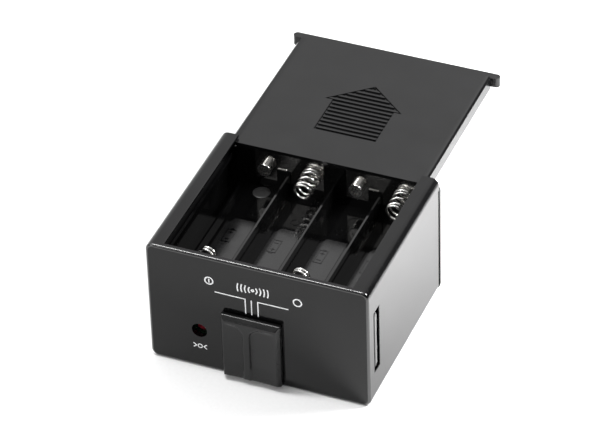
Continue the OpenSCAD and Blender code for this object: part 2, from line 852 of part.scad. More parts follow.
module receiver_module() {
    color([0.10, 0.30, 0.45])
        block([module_at[0] - 5.5, module_at[1] - 0.5, board_top_z],
            [module_at[0] + 5.5, module_at[1] + 0.5, board_top_z + 12]);
}

module receiver_shield() {
    color("silver")
        block([module_at[0] - 4.2, module_at[1] + 0.5, board_top_z + 2],
            [module_at[0] + 4.2, module_at[1] + 2.6, board_top_z + 10]);
}

// The aerial: a stiff wire that rises from the receiver and runs round to the right wall
ANTENNA = [for (d = [[0, -0.5, 4.4], [0, -1.4, 4.4], [0, -2, 5.6], [0, -2, 9], [1, -2.4, 11.4],
        [4, -3, 12.6], [14, -3, 13], [27, -3, 13], [36, -3, 13], [41, -2, 13], [44, 1, 13],
        [44, 8, 13], [44, 18, 13], [44, 24, 13]])
    [module_at[0] + d[0], module_at[1] + d[1], board_top_z + d[2]]];

module antenna_wire() {
    color([0.75, 0.45, 0.15])
        tube(ANTENNA, 0.5, [1, 0, 0]);
}

module crystal() {
    color("silver")
        block([chip_at[0] - 1.8, chip_at[1] + 4, board_top_z],
            [chip_at[0] + 3.2, chip_at[1] + 6, board_top_z + 3.4]);
}

// Upright electrolytic capacitors
CAPACITORS = [[from_back(4, 11.5), 3.2, 9], [from_back(0.5, 22), 2.5, 7]];

module capacitors() {
    color([0.15, 0.15, 0.35])
        for (c = CAPACITORS)
            rod_z(c[0][0], c[0][1], c[1], board_top_z, board_top_z + c[2]);
}

// Small resistors in a row
module resistors() {
    first = from_front(7, 15);
    color([0.1, 0.1, 0.1])
        for (i = [0:5])
            translate([first[0] + i * 2.6, first[1], board_top_z])
                cube([1.3, 2.8, 0.6]);
}

// The two-way terminal block behind the cover's window
term_mid_z = term_z + term_h / 2 + 0.2;
term_pocket = 3;
term_clamp_t = 0.8;
term_seat_y = term_y1 - term_pocket + term_clamp_t;
term_x_both = [for (sx = [-1, 1]) term_x + sx * term_pitch / 2];

module terminal_block() {
    color([0.10, 0.10, 0.10])
        difference() {
            block([term_x - term_w / 2, term_y1 - term_d, term_z],
                [term_x + term_w / 2, term_y1, term_z + term_h]);
            for (x = term_x_both) {
                block([x - 3.3, term_y1 - term_pocket, term_z + 1.6],
                    [x + 3.3, term_y1 + CUT, term_z + term_h - 1.2]);
                rod_y(x, term_mid_z, 1.3, term_y1 - 9.5, term_y1);
            }
        }
}

module terminal_clamps() {
    color("silver")
        for (x = term_x_both)
            difference() {
                block([x - 3, term_seat_y - term_clamp_t, term_z + 2],
                    [x + 3, term_seat_y, term_z + term_h - 1.6]);
                rod_y(x, term_mid_z, 1.4, term_seat_y - 2, term_seat_y + CUT);
            }
}

module terminal_screws() {
    color("silver")
        for (x = term_x_both)
            screw_y(x, term_mid_z, term_seat_y, 6.5, 1.25, 2.4, 1.1);
}

// Battery leads, from the tails of the single contacts to the plug on the board
lead_r = 0.6;
lead_y = bay_y0 + contact_t + lead_r;
plug_at = from_front(22, 22);
plug_top_z = board_top_z + 6.5;

module lead_socket() {
    color("ivory")
        difference() {
            block([plug_at[0] - 3.2, plug_at[1] - 2.6, board_top_z],
                [plug_at[0] + 3.2, plug_at[1] + 2.6, board_top_z + 5]);
            block([plug_at[0] - 2.5, plug_at[1] - 1.9, board_top_z + 1],
                [plug_at[0] + 2.5, plug_at[1] + 1.9, board_top_z + 5 + CUT]);
        }
}

module lead_plug() {
    color("ivory")
        block([plug_at[0] - 2.4, plug_at[1] - 1.8, board_top_z + 1.1],
            [plug_at[0] + 2.4, plug_at[1] + 1.8, plug_top_z]);
}

module battery_lead_positive() {
    x = tail_x[1];
    color("red")
        tube([[x, lead_y, tail_low_z + 1.6], [x, lead_y, tail_low_z - 0.2],
            [x - 0.4, lead_y + 1, 20.8], [x - 1.2, lead_y + 5, 19.8],
            [plug_at[0] + 3, plug_at[1] - 6, 19.4], [plug_at[0] + 1.5, plug_at[1] - 1.6, 19.2],
            [plug_at[0] + 1.2, plug_at[1], 18.2], [plug_at[0] + 1.2, plug_at[1], plug_top_z]],
            lead_r, [1, 0, 0]);
}

module battery_lead_negative() {
    x = tail_x[0];
    color([0.1, 0.1, 0.1])
        tube([[x, lead_y, tail_low_z + 1.6], [x, lead_y, tail_low_z - 0.2],
            [x + 0.5, lead_y + 1.2, 20.9], [x + 3.5, lead_y + 6, 20.6],
            [-14, plug_at[1] - 8, 20.6], [0, plug_at[1] - 7, 20.4], [12, plug_at[1] - 5, 20],
            [plug_at[0] - 4, plug_at[1] - 3, 19.4], [plug_at[0] - 1.8, plug_at[1] - 0.6, 18.8],
            [plug_at[0] - 1.2, plug_at[1], 17.8], [plug_at[0] - 1.2, plug_at[1], plug_top_z]],
            lead_r, [1, 0, 0]);
}

case_shell();
back_cover();
cover_screws();
battery_cover();
battery_tray();
contact_back_left();
contact_back_right();
contact_front_negative();
contact_front_bridge();
contact_front_positive();
spring_bay1();
spring_bay2();
spring_bay3();
spring_bay4();
wall_clip_left();
wall_clip_right();
circuit_board();
board_screws();
switch_frame();
switch_base();
switch_actuator();
switch_knob();
learn_switch();
learn_switch_frame();
learn_plunger();
relay();
buzzer();
controller_chip();
receiver_module();
receiver_shield();
antenna_wire();
crystal();
capacitors();
resistors();
terminal_block();
terminal_screws();
terminal_clamps();
battery_lead_positive();
battery_lead_negative();
lead_plug();
lead_socket();
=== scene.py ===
"""Looks of a battery-powered receiver box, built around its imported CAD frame.

Metres, +Z up, and the same frame as the CAD. The pieces that stand for CAD nodes are placed by the frame's
own boxes. The printed and moulded marks have no CAD node, and their places are set here, in millimetres.
"""
import json
import math

import bmesh
import bpy
from mathutils import Matrix, Vector


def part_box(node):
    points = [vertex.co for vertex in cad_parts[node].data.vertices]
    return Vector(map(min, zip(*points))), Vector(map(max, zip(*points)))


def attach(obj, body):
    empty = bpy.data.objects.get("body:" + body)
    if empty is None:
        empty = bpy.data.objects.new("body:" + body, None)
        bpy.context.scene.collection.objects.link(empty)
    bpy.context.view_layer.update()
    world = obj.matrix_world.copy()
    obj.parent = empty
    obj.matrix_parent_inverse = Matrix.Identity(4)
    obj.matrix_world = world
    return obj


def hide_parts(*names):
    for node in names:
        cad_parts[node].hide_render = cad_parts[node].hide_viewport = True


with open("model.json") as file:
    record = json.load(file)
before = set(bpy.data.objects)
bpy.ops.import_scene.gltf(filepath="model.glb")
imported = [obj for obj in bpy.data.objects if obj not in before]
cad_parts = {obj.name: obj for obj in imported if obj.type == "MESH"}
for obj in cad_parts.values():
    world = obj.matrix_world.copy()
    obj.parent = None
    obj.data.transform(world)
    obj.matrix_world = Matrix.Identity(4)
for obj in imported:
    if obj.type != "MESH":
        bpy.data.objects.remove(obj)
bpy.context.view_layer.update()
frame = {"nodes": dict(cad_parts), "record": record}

MM = 0.001
HOUSING = "housing"
NODES = frame["nodes"]
BODY_OF = {n: b for b, names in frame["record"]["behaviour"]["bodies"].items() for n in names}
SLOT_OF = {p["node"]: p["material_slot"] for p in frame["record"]["subparts"]}

case_low, case_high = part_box("case_shell")
tray_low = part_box("battery_tray")[0]
cover_low, cover_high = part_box("battery_cover")
knob_low, knob_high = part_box("switch_knob")
FRONT_Y = case_low.y
NEAR = 0.02 * MM  # places closer than this count as the same

# The contact springs, from the left bay to the right one, with their sizes in millimetres
SPRINGS = ("spring_bay1", "spring_bay2", "spring_bay3", "spring_bay4")
SPRING_WIRE = 0.7
SPRING_BASE_R = 3.0
SPRING_TIP_R = 2.6
SPRING_TURNS = 4.5

# How far a wall clip's tongue bows out from its feet
CLIP_REACH = 2.5 * MM


# ---------------------------------------------------------------- materials

def new_material(name):
    """An empty node material with its output and principled shader."""
    material = bpy.data.materials.new(name)
    material.use_nodes = True
    tree = material.node_tree
    shader = tree.nodes["Principled BSDF"]
    return material, tree, shader


def add(tree, kind, **values):
    """Adds a node and sets its properties, and its inputs where a name is an input's."""
    node = tree.nodes.new(kind)
    for key, value in values.items():
        if hasattr(node, key):
            setattr(node, key, value)
        else:
            node.inputs[key.replace("_", " ")].default_value = value
    return node


def noise(tree, coords, scale, detail=3.0, roughness=0.5):
    """Noise with so many features to the metre."""
    node = add(tree, "ShaderNodeTexNoise")
    node.inputs["Scale"].default_value = scale
    node.inputs["Detail"].default_value = detail
    node.inputs["Roughness"].default_value = roughness
    tree.links.new(coords, node.inputs["Vector"])
    return node.outputs["Fac"]


def spread(tree, value, low, high, from_low=0.3, from_high=0.7):
    """Maps a texture value onto a range."""
    node = add(tree, "ShaderNodeMapRange")
    node.inputs["From Min"].default_value = from_low
    node.inputs["From Max"].default_value = from_high
    node.inputs["To Min"].default_value = low
    node.inputs["To Max"].default_value = high
    tree.links.new(value, node.inputs["Value"])
    return node.outputs["Result"]


def bump(tree, height, strength, distance, normal=None):
    """A surface normal that follows a height texture, on top of another normal if one is given."""
    node = add(tree, "ShaderNodeBump")
    node.inputs["Strength"].default_value = strength
    node.inputs["Distance"].default_value = distance
    tree.links.new(height, node.inputs["Height"])
    if normal is not None:
        tree.links.new(normal, node.inputs["Normal"])
    return node.outputs["Normal"]


def blend_colours(tree, factor, colour_a, colour_b):
    """A colour between two, by a texture value."""
    node = add(tree, "ShaderNodeMix", data_type="RGBA")
    node.inputs["A"].default_value = (*colour_a, 1)
    node.inputs["B"].default_value = (*colour_b, 1)
    tree.links.new(factor, node.inputs["Factor"])
    return node.outputs["Result"]


def object_coords(tree, kind="Object"):
    return add(tree, "ShaderNodeTexCoord").outputs[kind]


def moulded(name, colour, roughness, grain=0.0, grain_size=0.25, sheen_spots=0.04, specular=0.5):
    """Moulded plastic: faint colour drift, uneven gloss, fine moulded grain and a slow ripple."""
    material, tree, shader = new_material(name)
    coords = object_coords(tree)
    drift = noise(tree, coords, scale=90, detail=4)
    lighter = tuple(min(1, c * 1.35 + 0.0006) for c in colour)
    darker = tuple(c * 0.8 for c in colour)
    shade = blend_colours(tree, spread(tree, drift, 0, 1), darker, lighter)
    tree.links.new(shade, shader.inputs["Base Color"])
    gloss = noise(tree, coords, scale=240, detail=5, roughness=0.6)
    tree.links.new(spread(tree, gloss, roughness - sheen_spots, roughness + sheen_spots),
                   shader.inputs["Roughness"])
    shader.inputs["Specular IOR Level"].default_value = specular
    ripple = bump(tree, noise(tree, coords, scale=60, detail=1), strength=0.12, distance=0.05 * MM)
    if grain:
        fine = noise(tree, coords, scale=1 / (grain_size * MM), detail=2)
        ripple = bump(tree, fine, grain, 0.02 * MM, ripple)
    tree.links.new(ripple, shader.inputs["Normal"])
    return material


def plated(name, colour, roughness, scratch_axis="X", scratch=0.25):
    """Plated or bare metal: drawn along X or Y, with fine scratches and dull patches."""
    material, tree, shader = new_material(name)
    coords = object_coords(tree)
    stretch = add(tree, "ShaderNodeMapping")
    drawn, fine = 60, 2500
    scales = {"X": (drawn, fine, fine), "Y": (fine, drawn, fine)}
    stretch.inputs["Scale"].default_value = scales[scratch_axis]
    tree.links.new(coords, stretch.inputs["Vector"])
    lines = noise(tree, stretch.outputs["Vector"], scale=1.0, detail=3, roughness=0.6)
    patches = noise(tree, coords, scale=350, detail=4, roughness=0.6)
    darker = tuple(c * 0.72 for c in colour)
    shade = blend_colours(tree, spread(tree, patches, 0, 1), darker, colour)
    tree.links.new(shade, shader.inputs["Base Color"])
    shader.inputs["Metallic"].default_value = 1.0
    tree.links.new(spread(tree, lines, roughness * 0.6, roughness * 1.5), shader.inputs["Roughness"])
    tree.links.new(bump(tree, lines, scratch, 0.01 * MM), shader.inputs["Normal"])
    return material


def printed_ink(name, colour):
    """Screen-printed ink: a matt film with pinholes in its gloss."""
    material, tree, shader = new_material(name)
    coords = object_coords(tree)
    speckle = noise(tree, coords, scale=2600, detail=3, roughness=0.6)
    dim = tuple(c * 0.86 for c in colour)
    shade = blend_colours(tree, spread(tree, speckle, 0, 1), dim, colour)
    tree.links.new(shade, shader.inputs["Base Color"])
    tree.links.new(spread(tree, speckle, 0.45, 0.7), shader.inputs["Roughness"])
    tree.links.new(bump(tree, speckle, strength=0.3, distance=0.01 * MM), shader.inputs["Normal"])
    return material


def laminate(name, mask, copper):
    """A circuit board: solder mask over copper areas that show as lighter shapes, with a weave."""
    material, tree, shader = new_material(name)
    coords = object_coords(tree)
    tracks = add(tree, "ShaderNodeTexBrick")
    tracks.inputs["Scale"].default_value = 260
    tracks.inputs["Mortar Size"].default_value = 0.16
    tree.links.new(coords, tracks.inputs["Vector"])
    tree.links.new(blend_colours(tree, tracks.outputs["Fac"], mask, copper), shader.inputs["Base Color"])
    weave = noise(tree, coords, scale=1800, detail=2)
    tree.links.new(spread(tree, weave, 0.28, 0.42), shader.inputs["Roughness"])
    tree.links.new(bump(tree, weave, strength=0.2, distance=0.03 * MM), shader.inputs["Normal"])
    return material


BLACK = (0.0022, 0.0022, 0.0024)
MATERIALS = {
    "case_plastic": moulded("case_plastic", BLACK, 0.11, grain=0.05, grain_size=0.22, specular=0.28),
    "cover_plastic": moulded("cover_plastic", (0.0024, 0.0024, 0.0026), 0.20, grain=0.12, specular=0.36),
    "tray_plastic": moulded("tray_plastic", (0.0015, 0.0015, 0.0016), 0.075, sheen_spots=0.02, specular=0.5),
    "clip_plastic": moulded("clip_plastic", (0.02, 0.02, 0.021), 0.2, grain=0.05),
    "knob_plastic": moulded("knob_plastic", (0.0026, 0.0026, 0.0028), 0.24, grain=0.12, specular=0.36),
    "actuator_plastic": moulded("actuator_plastic", (0.01, 0.01, 0.01), 0.4, grain=0.2),
    "component_black": moulded("component_black", (0.012, 0.012, 0.013), 0.5, grain=0.4),
    "relay_blue": moulded("relay_blue", (0.02, 0.07, 0.32), 0.3, grain=0.1),
    "capacitor_sleeve": moulded("capacitor_sleeve", (0.02, 0.02, 0.09), 0.28),
    "terminal_plastic": moulded("terminal_plastic", (0.012, 0.012, 0.012), 0.42, grain=0.3),
    "connector_nylon": moulded("connector_nylon", (0.7, 0.66, 0.54), 0.45, grain=0.2),
    "plunger_plastic": moulded("plunger_plastic", (0.10, 0.006, 0.012), 0.16),
    "phenolic": moulded("phenolic", (0.35, 0.2, 0.08), 0.55, grain=0.4),
    "lead_red": moulded("lead_red", (0.42, 0.015, 0.015), 0.4),
    "lead_black": moulded("lead_black", (0.012, 0.012, 0.012), 0.4),
    "nickel_plate": plated("nickel_plate", (0.66, 0.65, 0.63), 0.09, "X", 0.12),
    "spring_wire": plated("spring_wire", (0.92, 0.91, 0.89), 0.16, "Y", 0.05),
    "zinc_screw": plated("zinc_screw", (0.62, 0.62, 0.60), 0.28, "X"),
    "switch_steel": plated("switch_steel", (0.66, 0.66, 0.64), 0.3, "X"),
    "antenna_copper": plated("antenna_copper", (0.62, 0.30, 0.12), 0.25, "X"),
    # The board's solder-mask colour is made very dark so that the board, seen through the holes in the
    # front, stays dark: painted shade for the inside of the case.
    "board_laminate": laminate("board_laminate", (0.004, 0.035, 0.012), (0.012, 0.07, 0.022)),
    "module_laminate": laminate("module_laminate", (0.01, 0.05, 0.14), (0.02, 0.09, 0.22)),
}
# A lighter, rougher copy of the plate's nickel for the contact studs. Its lighter colour is a painted
# highlight; the higher roughness is a surface property.
PAINTED_STUD_HIGHLIGHT = plated("stud_painted_highlight", (0.93, 0.92, 0.90), 0.26, "Y", 0.05)
INK = printed_ink("print_ink", (0.95, 0.96, 0.97))


# ---------------------------------------------------------------- mesh helpers

def new_object(name, mesh, material):
    """A piece in the scene, with one material."""
    piece = bpy.data.objects.new(name, mesh)
    bpy.context.scene.collection.objects.link(piece)
    mesh.materials.append(material)
    return piece


def shown(bm, name, material):
    """Turns the mesh into a piece in the scene."""
    mesh = bpy.data.meshes.new(name)
    bm.to_mesh(mesh)
    bm.free()
    return new_object(name, mesh, material)


def finish_shading(piece, sharp_degrees=38):
    """Smooth shading with true flat faces: sharp edges by angle, then weighted normals."""
    mesh = piece.data
    bm = bmesh.new()
    bm.from_mesh(mesh)
    limit = math.radians(sharp_degrees)
    for face in bm.faces:
        face.smooth = True
    for edge in bm.edges:
        edge.smooth = len(edge.link_faces) == 2 and edge.calc_face_angle(0) < limit
    bm.to_mesh(mesh)
    bm.free()
    weighted = piece.modifiers.new("weighted_normals", "WEIGHTED_NORMAL")
    weighted.keep_sharp = True


def clean_copy(node):
    """The CAD node's faces as one welded mesh with its flat faces joined."""
    bm = bmesh.new()
    bm.from_mesh(NODES[node].data)
    weld = 0.002 * MM
    flat = math.radians(0.6)
    bmesh.ops.remove_doubles(bm, verts=bm.verts, dist=weld)
    bmesh.ops.dissolve_limit(bm, angle_limit=flat, verts=bm.verts, edges=bm.edges)
    return bm


def bevel_edges(bm, width, chooser, segments=3, clamp=True):
    """Rounds the sharp edges that chooser accepts, each given by its two ends and the edge itself."""
    sharp = math.radians(35)
    edges = []
    for edge in bm.edges:
        if len(edge.link_faces) != 2 or abs(edge.calc_face_angle(0)) < sharp:
            continue
        if chooser(edge.verts[0].co, edge.verts[1].co, edge):
            edges.append(edge)
    return bmesh.ops.bevel(bm, geom=edges, offset=width, segments=segments, profile=0.5,
                           affect="EDGES", clamp_overlap=clamp, offset_type="OFFSET")


def stand_in(bm, node, name):
    """Turns the mesh into a shown piece that stands for the CAD node."""
    piece = shown(bm, name, MATERIALS[SLOT_OF[node]])
    finish_shading(piece)
    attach(piece, BODY_OF[node])
    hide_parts(node)
    return piece


def on_housing(piece):
    """Fixes a piece with no CAD node of its own to the housing."""
    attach(piece, HOUSING)
    return piece


# ---------------------------------------------------------------- camera

def make_camera():
    """The photograph's viewing angle: from the right, above, through a long lens."""
    azimuth, elevation, roll = (math.radians(a) for a in (23.14, 37.98, -1.90))
    distance = 1.1623
    aim = Vector((-1.6, 8.5, 36.4)) * MM
    back = Vector((math.sin(azimuth) * math.cos(elevation), -math.cos(azimuth) * math.cos(elevation),
                   math.sin(elevation)))
    right = Vector((0, 0, 1)).cross(back).normalized()
    up = back.cross(right)
    side = right * math.cos(roll) + up * math.sin(roll)
    top = up * math.cos(roll) - right * math.sin(roll)
    data = bpy.data.cameras.new("camera")
    data.sensor_width = 36.0
    data.lens = 228.3
    data.clip_start, data.clip_end = 0.05, 20
    camera = bpy.data.objects.new("camera", data)
    turn = Matrix((side, top, back)).transposed().to_4x4()
    camera.matrix_world = Matrix.Translation(aim + back * distance) @ turn
    bpy.context.scene.collection.objects.link(camera)
    bpy.context.scene.camera = camera


# ---------------------------------------------------------------- case and covers

def make_case():
    """The case with rounded front edges, rail edges and slot edges, and a front rim whose bevel reflects
    more strongly than the rest: a painted highlight.
    """
    bm = clean_copy("case_shell")
    rim_bevel = 0.85 * MM
    edge_bevel = 0.22 * MM
    outer_x = 33 * MM
    top_z = 42 * MM
    bottom_z = 0.1 * MM
    rim_depth = 1.2 * MM
    shortest_rail = 4 * MM
    shortest_slot = 3 * MM
    slot_top_z = 36 * MM

    def front_rim(a, b, edge):
        if abs(a.y - FRONT_Y) >= NEAR or abs(b.y - FRONT_Y) >= NEAR:
            return False
        at_side = max(abs(a.x), abs(b.x)) > outer_x
        at_top = a.z > top_z and b.z > top_z
        at_bottom = max(a.z, b.z) < bottom_z
        return at_side or at_top or at_bottom

    def rail_and_slot(a, b, edge):
        if abs(a.y - FRONT_Y) < rim_depth and abs(b.y - FRONT_Y) < rim_depth:
            return False
        length = edge.calc_length()
        on_top = a.z > case_high.z - NEAR and b.z > case_high.z - NEAR
        on_side = min(abs(a.x), abs(b.x)) > case_high.x - NEAR and max(a.z, b.z) < slot_top_z
        return (on_top and length > shortest_rail) or (on_side and length > shortest_slot)

    # The front rim's bevel faces get a copy of the case plastic with a much higher specular level: a painted
    # highlight along the rim.
    for face in bevel_edges(bm, rim_bevel, front_rim, segments=5)["faces"]:
        face.material_index = 1
    bevel_edges(bm, edge_bevel, rail_and_slot, segments=2)
    case = stand_in(bm, "case_shell", "case_shell_rounded")
    # The rim's painted-highlight material: the case black with its specular raised to 1.0.
    case.data.materials.append(moulded("case_rim_painted_highlight", BLACK, 0.09, sheen_spots=0.02, specular=1.0))


def make_back_cover():
    """The back cover with its outer edges rounded."""
    bm = clean_copy("back_cover")
    back_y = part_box("back_cover")[1].y
    edge_bevel = 0.2 * MM
    shortest = 0.2 * MM

    def rim(a, b, edge):
        return min(a.y, b.y) > back_y - NEAR and edge.calc_length() > shortest

    bevel_edges(bm, edge_bevel, rim, segments=2)
    stand_in(bm, "back_cover", "back_cover_rounded")


def make_battery_cover():
    """The sliding cover with its long sides, its front edge and its pull bar rounded."""
    bm = clean_copy("battery_cover")
    edge_bevel = 0.18 * MM
    bar_y = cover_high.y - 3.0 * MM
    bar_low_z = cover_high.z - 4 * MM
    shortest_on_bar = 0.3 * MM
    outer_x = 31 * MM
    shortest_side = 10 * MM
    shortest_front = 5 * MM

    def rim(a, b, edge):
        length = edge.calc_length()
        if min(a.y, b.y) > bar_y:
            return length > shortest_on_bar and max(a.z, b.z) > bar_low_z
        on_side = min(abs(a.x), abs(b.x)) > outer_x and length > shortest_side
        on_front = max(a.y, b.y) < cover_low.y + NEAR and length > shortest_front
        return on_side or on_front

    bevel_edges(bm, edge_bevel, rim, segments=2)
    stand_in(bm, "battery_cover", "battery_cover_rounded")


def make_plain(node, width, min_length=0.6):
    """A copy of a CAD node with all its longer sharp edges rounded; width and min_length in mm."""
    bm = clean_copy(node)
    bevel_edges(bm, width * MM, lambda a, b, edge: edge.calc_length() > min_length * MM, segments=2)
    return stand_in(bm, node, node + "_rounded")


def make_clip(node, side):
    """A wall clip: its two feet, joined by a spring tongue that bows out into the slot."""
    low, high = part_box(node)
    inner = low.x if side > 0 else high.x
    outer = inner + side * CLIP_REACH
    mid_y = (low.y + high.y) / 2
    bm = clean_copy(node)
    half = 0.8 * MM
    thick = 0.5 * MM
    end_gap = 0.3 * MM
    soft_x = 0.12 * MM
    soft_y = 0.2 * MM
    bend = 0.10  # the share of the tongue's length that each bend takes
    steps = 28
    section = ((thick, -half), (soft_x, -half), (0, -half + soft_y), (0, half - soft_y), (soft_x, half),
               (thick, half))
    rows = []
    for k in range(steps + 1):
        f = k / steps
        z = low.z + end_gap + (high.z - low.z - 2 * end_gap) * f
        bow = min(1.0, min(f, 1 - f) / bend)
        bow = bow * bow * (3 - 2 * bow)
        x = inner + (outer - inner) * bow + side * thick
        rows.append([bm.verts.new((x - side * t, mid_y + y, z)) for t, y in section])
    for lower, upper in zip(rows, rows[1:]):
        for i in range(len(section)):
            j = (i + 1) % len(section)
            bm.faces.new((lower[i], lower[j], upper[j], upper[i]))
    bm.faces.new(rows[0][::-1])
    bm.faces.new(rows[-1])
    bmesh.ops.recalc_face_normals(bm, faces=bm.faces)
    stand_in(bm, node, node + "_bowed")


def make_contact(node):
    """A contact plate with broken edges, whose studs have well-rounded tips and take a lighter copy of the
    plate's metal: a painted highlight.
    """
    bm = clean_copy(node)
    low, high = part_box(node)
    facing_front = low.y > 0
    tip_y = low.y if facing_front else high.y
    has_stud = high.y - low.y > 1.5 * MM
    tip_bevel = 0.75 * MM
    edge_bevel = 0.06 * MM
    shortest = 0.6 * MM
    painted_highlight_reach = 1.7 * MM

    def tip(a, b, edge):
        return has_stud and abs(a.y - tip_y) < NEAR and abs(b.y - tip_y) < NEAR

    bevel_edges(bm, tip_bevel, tip, segments=5, clamp=False)
    bevel_edges(bm, edge_bevel, lambda a, b, edge: edge.calc_length() > shortest, segments=2)
    # Faces near the stud's tip take the lighter metal: a painted highlight.
    for face in bm.faces:
        if has_stud and abs(face.calc_center_median().y - tip_y) < painted_highlight_reach:
            face.material_index = 1
    piece = stand_in(bm, node, node + "_rounded")
    piece.data.materials.append(PAINTED_STUD_HIGHLIGHT)


# ---------------------------------------------------------------- knob

# Its block, in millimetres: the thickness in the middle, at the sides and top, and at the foot
KNOB_THICK = 2.85
KNOB_EDGE = 1.2
KNOB_FOOT = 1.7

# How fast the block grows thicker, away from its sides, its top and its foot
SIDE_SLOPE = 1.65
TOP_SLOPE = 1.35
FOOT_SLOPE = 2.0

# Its finger grips, one on each side of an upright ridge, in millimetres
RIDGE_X = -1.1
RIDGE_HALF = 0.85
RIDGE_WALL = 0.7
SCOOP_DEPTH = 1.0
SCOOP_MARGIN = 0.9
ARCH_MARGIN = 2.0
ARCH_CORNER = 4.0
ARCH_FADE = 1.6
RUN_OUT = 9.0

# The share of a grip's depth that is left at the knob's foot
FOOT_SHARE = 0.35


def smooth_least(a, b, radius):
    """The smaller of two values, rounded where they meet."""
    h = max(0.0, min(1.0, 0.5 + 0.5 * (b - a) / radius))
    return b + (a - b) * h - radius * h * (1 - h)


def scoop_depth(x, z, half, height):
    """How deep the finger grip is at a place: steep beside the ridge, then running out to the side."""
    inner = RIDGE_X + math.copysign(RIDGE_HALF, x - RIDGE_X)
    outer = math.copysign(half - SCOOP_MARGIN, x - RIDGE_X)
    u = (x - inner) / (outer - inner)
    if u <= 0 or u >= 1:
        return 0.0
    across = u * abs(outer - inner)
    arch_top = height - ARCH_MARGIN
    if across < ARCH_CORNER:
        arch_top -= ARCH_CORNER - math.sqrt(max(0.0, ARCH_CORNER ** 2 - (ARCH_CORNER - across) ** 2))
    below = arch_top - z
    if below <= 0:
        return 0.0
    wall = min(1.0, across / RIDGE_WALL)
    wall = wall * wall * (3 - 2 * wall)
    fade = min(1.0, below / ARCH_FADE)
    fade = fade * (2 - fade)
    run_out = min(1.0, FOOT_SHARE + z / RUN_OUT)
    return SCOOP_DEPTH * wall * (1 - u) ** 0.8 * fade * run_out


def knob_depth(x, z, half, height):
    """How far the knob's face lies behind its highest plane, at x from its middle and z from its foot."""
    side = smooth_least((half - abs(x)) * SIDE_SLOPE + KNOB_EDGE, KNOB_THICK, 0.35)
    top = smooth_least((height - z) * TOP_SLOPE + KNOB_EDGE, KNOB_THICK, 0.5)
    foot = smooth_least(z * FOOT_SLOPE + KNOB_FOOT, KNOB_THICK, 0.4)
    corner = 0.3
    thickness = smooth_least(smooth_least(side, top, corner), foot, corner)
    return max(0.0, KNOB_THICK - thickness) + scoop_depth(x, z, half, height)


def knob_lines(low, high, edge, fine, coarse):
    """Places across the knob, closer together near both ends."""
    ends = [edge * i / fine for i in range(fine + 1)]
    count = int((high - low - 2 * edge) / coarse)
    middle = [low + edge + (high - low - 2 * edge) * i / count for i in range(1, count)]
    return [low + e for e in ends] + middle + [high - e for e in reversed(ends)]


def make_knob():
    """The slide switch's knob: a bevelled block with two scooped finger grips beside a ridge."""
    half = (knob_high.x - knob_low.x) / 2 / MM
    height = (knob_high.z - knob_low.z) / MM
    middle_x = (knob_high.x + knob_low.x) / 2
    xs = knob_lines(-half, half, edge=1.2, fine=10, coarse=0.16)
    zs = knob_lines(0, height, edge=2.2, fine=12, coarse=0.22)
    bm = bmesh.new()
    rows = []
    for z in zs:
        rows.append([bm.verts.new((middle_x + x * MM, knob_low.y + knob_depth(x, z, half, height) * MM,
                                   knob_low.z + z * MM)) for x in xs])
    for lower, upper in zip(rows, rows[1:]):
        for i in range(len(xs) - 1):
            bm.faces.new((lower[i], lower[i + 1], upper[i + 1], upper[i]))
    rim = rows[0] + [r[-1] for r in rows[1:-1]] + rows[-1][::-1] + [r[0] for r in rows[-2:0:-1]]
    back = [bm.verts.new((v.co.x, knob_high.y, v.co.z)) for v in rim]
    for i in range(len(rim)):
        j = (i + 1) % len(rim)
        bm.faces.new((rim[j], rim[i], back[i], back[j]))
    bm.faces.new(back)
    weld = 0.0005 * MM
    bmesh.ops.remove_doubles(bm, verts=bm.verts, dist=weld)
    bmesh.ops.recalc_face_normals(bm, faces=bm.faces)
    stand_in(bm, "switch_knob", "switch_knob_shaped")


# ---------------------------------------------------------------- contact springs

def sweep(bm, path, radius, sides, start):
    """A round tube along a path, closed at both ends."""
    normal = Vector(start)
    rings = []
    for i, point in enumerate(path):
        heading = (path[min(i + 1, len(path) - 1)] - path[max(i - 1, 0)]).normalized()
        normal = (normal - heading * normal.dot(heading)).normalized()
        across = heading.cross(normal)
        rings.append([bm.verts.new(point + radius * (normal * math.cos(a) + across * math.sin(a)))
                      for a in (2 * math.pi * k / sides for k in range(sides))])
    for first, second in zip(rings, rings[1:]):
        for k in range(sides):
            j = (k + 1) % sides
            bm.faces.new((first[k], first[j], second[j], second[k]))
    bm.faces.new(rings[0][::-1])
    bm.faces.new(rings[-1])


def spring_rise(f, length):
    """How far the wire has climbed at a share of its length: closed end turns, open turns between them."""
    closed = 1 / SPRING_TURNS
    climb = SPRING_WIRE * 1.1
    if f < closed:
        return climb * f / closed
    if f > 1 - closed:
        return length - climb * (1 - f) / closed
    return climb + (length - 2 * climb) * (f - closed) / (1 - 2 * closed)


def make_spring(node, outward):
    """A slightly conical contact spring of round wire, standing on its plate."""
    low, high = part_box(node)
    length = (high.y - low.y) / MM - SPRING_WIRE
    seat = (low.y if outward > 0 else high.y) + outward * SPRING_WIRE / 2 * MM
    steps = int(SPRING_TURNS * 40)
    bm = bmesh.new()
    path = []
    for k in range(steps + 1):
        f = k / steps
        angle = 2 * math.pi * SPRING_TURNS * f
        radius = SPRING_BASE_R + f * (SPRING_TIP_R - SPRING_BASE_R)
        path.append(Vector((SPRING_X[node] + radius * math.cos(angle) * MM,
                            seat + outward * spring_rise(f, length) * MM,
                            SPRING_Z + radius * math.sin(angle) * MM)))
    sweep(bm, path, SPRING_WIRE / 2 * MM, sides=14, start=(1, 0, 0))
    bmesh.ops.recalc_face_normals(bm, faces=bm.faces)
    stand_in(bm, node, node + "_wound")


def spring_axis():
    """Each spring's axis, from its CAD box: the start of the wire is its widest place to +X."""
    places = {}
    heights = []
    for node in SPRINGS:
        low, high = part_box(node)
        places[node] = high.x - (SPRING_BASE_R + SPRING_WIRE / 2) * MM
        heights.append((low.z + high.z) / 2)
    return places, sum(heights) / len(heights)


# ---------------------------------------------------------------- print on the front face

